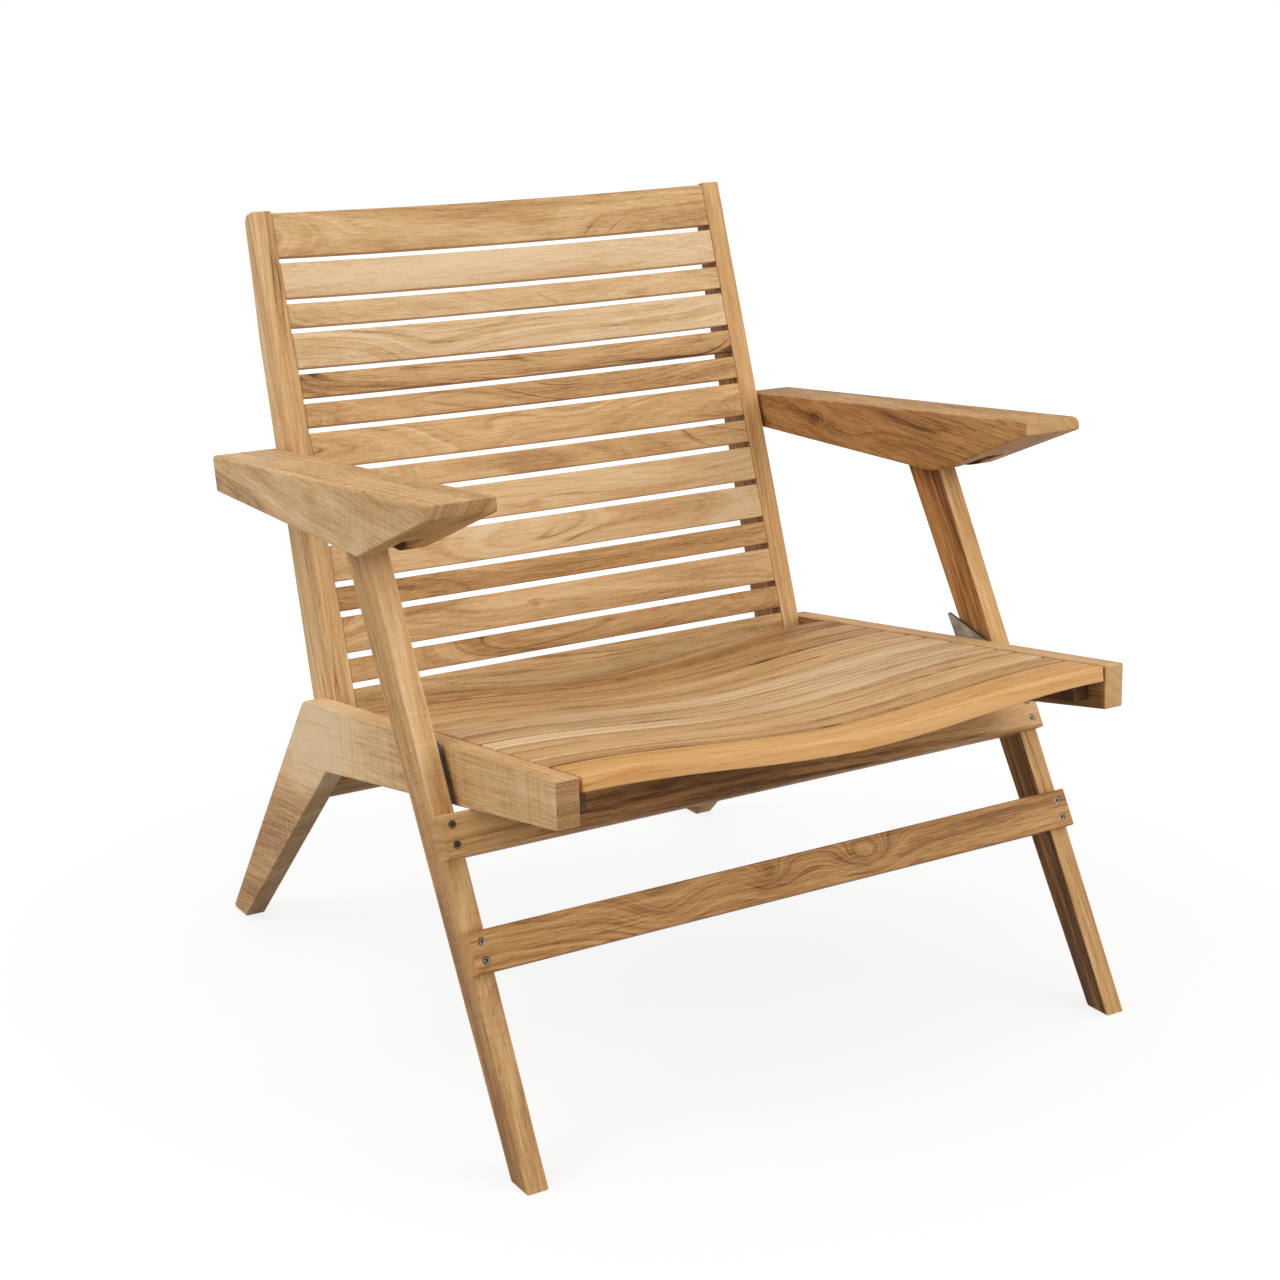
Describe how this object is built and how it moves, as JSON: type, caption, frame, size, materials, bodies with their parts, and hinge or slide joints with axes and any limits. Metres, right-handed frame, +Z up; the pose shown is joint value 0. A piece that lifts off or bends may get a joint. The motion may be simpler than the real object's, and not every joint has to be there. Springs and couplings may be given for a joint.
{
  "type": "folding armchair",
  "caption": "Low folding garden armchair of teak: slatted reclined back, dished slat seat, broad level armrests and splayed legs that fold together.",
  "frame": {"origin": "on the floor, under the middle of the open chair's box", "axes": "+X to the sitter's left when seated, -Y the way the chair faces, +Z up"},
  "size_m": [0.697, 0.7488, 0.7652],
  "materials": {
    "frame_teak": "bare sanded teak",
    "seat_teak": "bare sanded teak",
    "back_teak": "bare sanded teak",
    "steel": "brushed stainless",
    "screw_steel": "plain stainless",
    "pad": "matt black"
  },
  "bodies": {
    "seat_frame": {"back_pivot_pin_left": "steel", "back_pivot_pin_right": "steel", "cleat_screws": "screw_steel", "rear_cross_rail": "frame_teak", "seat_cleat_left": "frame_teak", "seat_cleat_right": "frame_teak", "seat_slat_01": "seat_teak", "seat_slat_02": "seat_teak", "seat_slat_03": "seat_teak", "seat_slat_04": "seat_teak", "seat_slat_05": "seat_teak", "seat_slat_06": "seat_teak", "seat_slat_07": "seat_teak", "seat_slat_08": "seat_teak", "seat_slat_09": "seat_teak", "seat_slat_10": "seat_teak", "seat_slat_11": "seat_teak", "seat_slat_12": "seat_teak", "seat_slat_screws": "screw_steel", "side_board_left": "frame_teak", "side_board_right": "frame_teak"},
    "backrest": {"back_slat_01": "back_teak", "back_slat_02": "back_teak", "back_slat_03": "back_teak", "back_slat_04": "back_teak", "back_slat_05": "back_teak", "back_slat_06": "back_teak", "back_slat_07": "back_teak", "back_slat_08": "back_teak", "back_slat_09": "back_teak", "back_slat_10": "back_teak", "back_slat_11": "back_teak", "back_slat_12": "back_teak", "back_slat_13": "back_teak", "back_slat_14": "back_teak", "back_stile_left": "frame_teak", "back_stile_right": "frame_teak"},
    "front_legs": {"front_leg_left": "frame_teak", "front_leg_right": "frame_teak", "hinge_plate_left": "steel", "hinge_plate_right": "steel", "leg_pivot_pin_left": "steel", "leg_pivot_pin_right": "steel", "leg_pivot_washer_left": "steel", "leg_pivot_washer_right": "steel", "lower_stretcher": "frame_teak", "plate_pad_left": "pad", "plate_pad_right": "pad", "plate_screws": "screw_steel", "stretcher_screws": "screw_steel", "upper_stretcher": "frame_teak"},
    "arm_left": {"arm_pivot_pin_left": "steel", "arm_pivot_washer_left": "steel", "armrest_left": "frame_teak", "leg_top_pin_left": "steel"},
    "arm_right": {"arm_pivot_pin_right": "steel", "arm_pivot_washer_right": "steel", "armrest_right": "frame_teak", "leg_top_pin_right": "steel"}
  },
  "joints": [
    {"name": "back_fold", "type": "hinge", "parent": "seat_frame", "child": "backrest", "pos_m": [0, 0.1286, 0.28399], "axis": [1, 0, 0], "range_deg": [0, 78]},
    {"name": "front_leg_fold", "type": "hinge", "parent": "seat_frame", "child": "front_legs", "pos_m": [0, -0.13312, 0.29135], "axis": [1, 0, 0], "range_deg": [0, 78]},
    {"name": "arm_left_hinge", "type": "hinge", "parent": "backrest", "child": "arm_left", "pos_m": [-0.28, 0.21522, 0.5102], "axis": [1, 0, 0], "range_deg": [-78, 0]},
    {"name": "arm_right_hinge", "type": "hinge", "parent": "backrest", "child": "arm_right", "pos_m": [0.28, 0.21522, 0.5102], "axis": [1, 0, 0], "range_deg": [-78, 0]}
  ],
  "couplings": [
    {"joint": "front_leg_fold", "follows": "back_fold", "ratio": 1},
    {"joint": "arm_left_hinge", "follows": "back_fold", "ratio": -1},
    {"joint": "arm_right_hinge", "follows": "back_fold", "ratio": -1}
  ]
}
